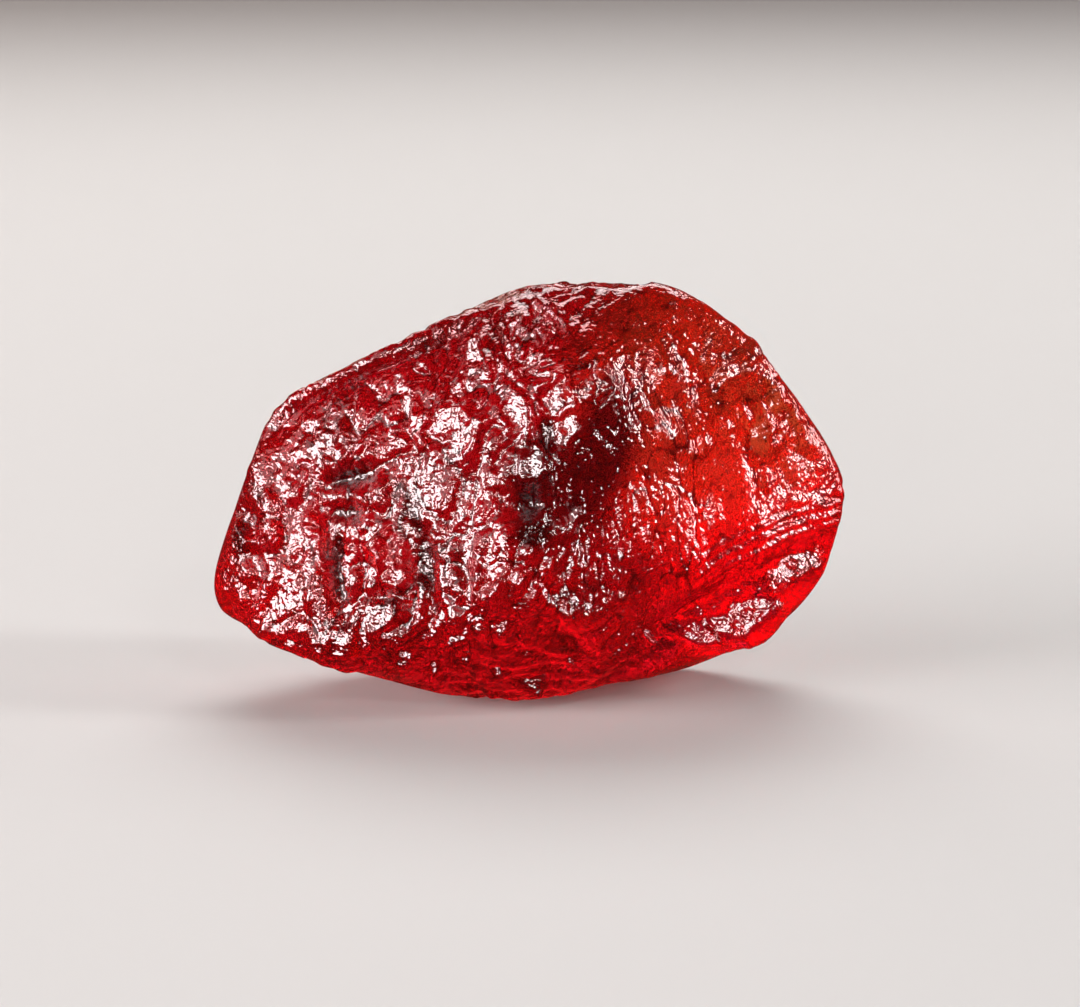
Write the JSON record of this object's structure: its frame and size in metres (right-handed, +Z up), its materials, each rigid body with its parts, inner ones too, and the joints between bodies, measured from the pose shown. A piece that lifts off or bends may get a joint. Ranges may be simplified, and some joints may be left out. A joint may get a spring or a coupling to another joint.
{
  "type": "rough sapphire",
  "caption": "Rough red corundum pebble with worn rounded edges, etched furrows and a split lobe, standing on a flat underside.",
  "frame": {"origin": "middle of the stone's box in X and Y, on the flat underside at Z 0", "axes": "+Z up from the flat underside; +X along the stone's length, towards its blunt end; +Y through its thickness, away from the etched front that faces -Y"},
  "size_m": [0.0218, 0.013, 0.0143],
  "materials": {
    "red_sapphire": "translucent red corundum with a glossy, finely etched skin"
  },
  "bodies": {
    "root": {"sapphire": "red_sapphire"}
  },
  "joints": []
}
